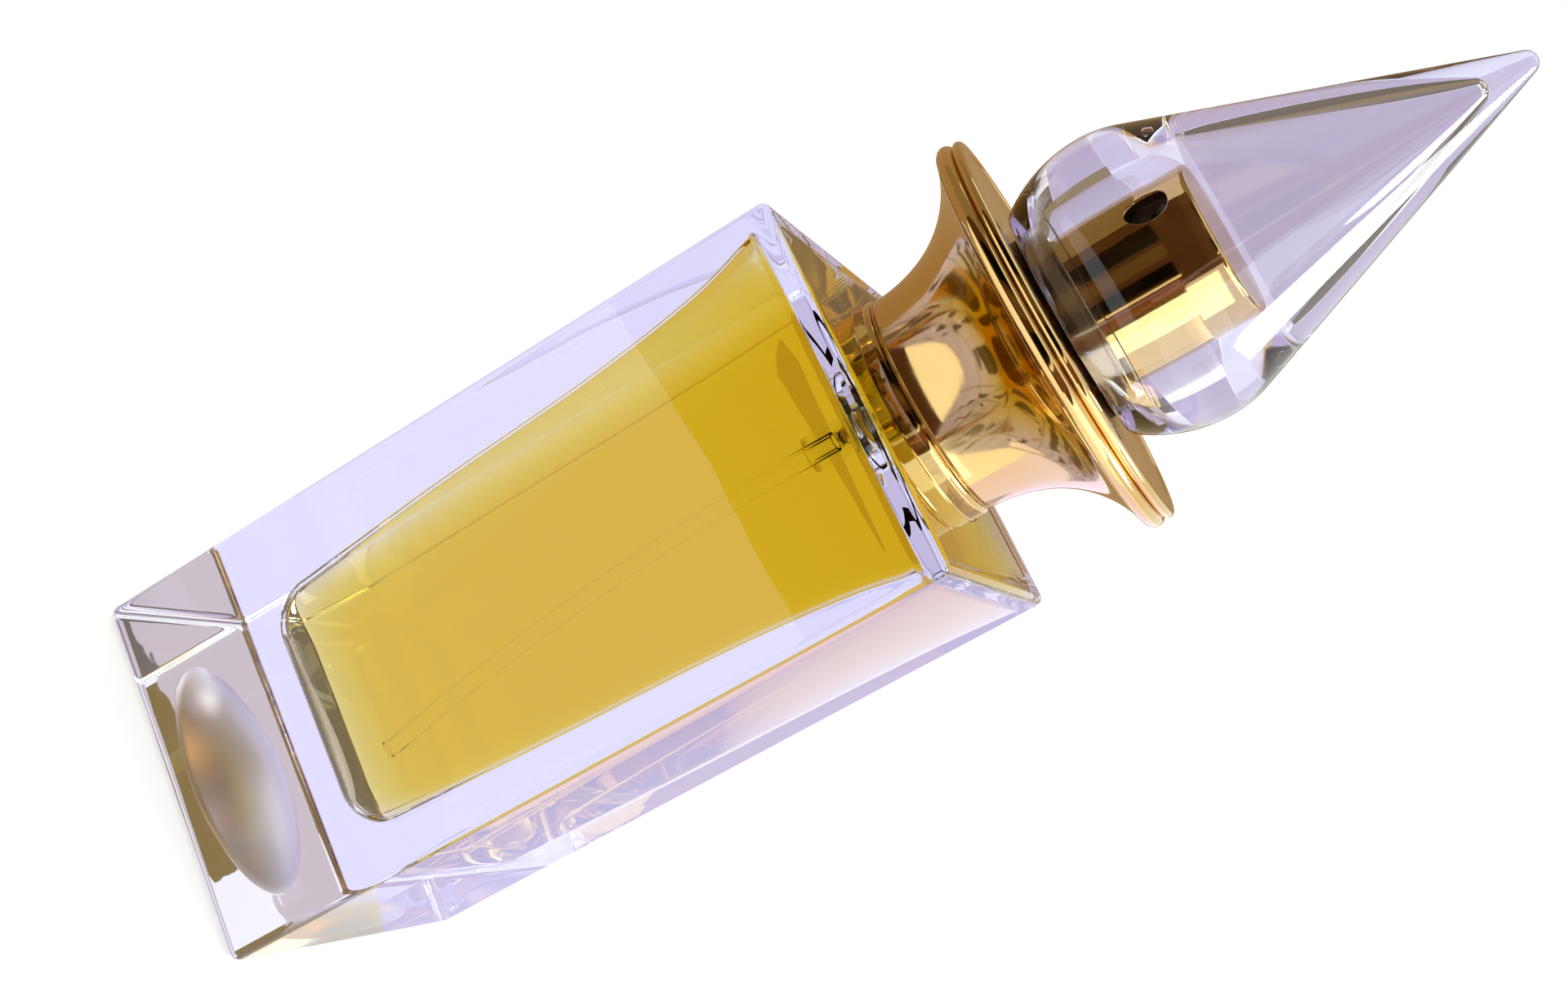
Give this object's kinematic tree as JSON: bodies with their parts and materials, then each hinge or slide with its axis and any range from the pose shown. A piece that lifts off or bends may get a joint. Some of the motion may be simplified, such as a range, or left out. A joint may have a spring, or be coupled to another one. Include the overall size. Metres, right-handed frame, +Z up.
{
  "type": "perfume bottle",
  "caption": "Square thick-walled glass spray bottle with a flared gold collar, crimped pump, gold spray button and clear pointed lift-off cap.",
  "frame": {"origin": "middle of the underside of the glass body, on the surface it stands on", "axes": "+Z up along the bottle's axis through pump and cap, -Y out of the front face, +X to the right seen from the front"},
  "size_m": [0.041, 0.041, 0.1426],
  "materials": {
    "clear_glass": "polished",
    "perfume": "clear liquid",
    "clear_cap": "polished clear acrylic",
    "gold_metal": "bright gold anodised",
    "bare_aluminium": "satin",
    "spring_steel": "drawn wire",
    "natural_plastic": "natural translucent",
    "dark_plastic": "moulded",
    "seal_rubber": "smooth"
  },
  "bodies": {
    "bottle": {"glass_bottle": "clear_glass", "perfume": "perfume", "dip_tube": "natural_plastic", "pump_housing": "natural_plastic", "return_spring": "spring_steel", "stem_seal": "seal_rubber", "pump_turret": "natural_plastic", "neck_gasket": "seal_rubber", "crimp_ferrule": "bare_aluminium", "collar_shell": "gold_metal", "collar_insert": "dark_plastic", "collar_top_plate": "gold_metal", "collar_ring": "gold_metal"},
    "ball": {"check_ball": "spring_steel"},
    "stem": {"pump_stem": "natural_plastic", "valve_rod": "natural_plastic", "inner_spring": "spring_steel"},
    "piston": {"piston": "natural_plastic"},
    "button": {"button_sleeve": "gold_metal", "button_core": "dark_plastic", "nozzle_insert": "dark_plastic"},
    "cap": {"cap_shell": "clear_cap", "cap_liner": "clear_cap"}
  },
  "joints": [
    {"name": "spray_press", "type": "slide", "parent": "bottle", "child": "stem", "axis": [0, 0, -1], "range_m": [0, 0.0036], "stiffness_N_per_m": 2000, "springref_m": -0.003, "deforming": ["return_spring"]},
    {"name": "button_turn", "type": "hinge", "parent": "stem", "child": "button", "pos_m": [0, 0, 0.097], "axis": [0, 0, 1], "continuous": true},
    {"name": "piston_slip", "type": "slide", "parent": "stem", "child": "piston", "axis": [0, 0, 1], "range_m": [0, 0.0004], "stiffness_N_per_m": 3000, "springref_m": -0.001, "deforming": ["inner_spring"]},
    {"name": "ball_lift", "type": "slide", "parent": "bottle", "child": "ball", "axis": [0, 0, 1], "range_m": [0, 0.0006]},
    {"name": "cap_lift", "type": "slide", "parent": "bottle", "child": "cap", "axis": [0, 0, 1], "range_m": [0, 0.04]}
  ]
}
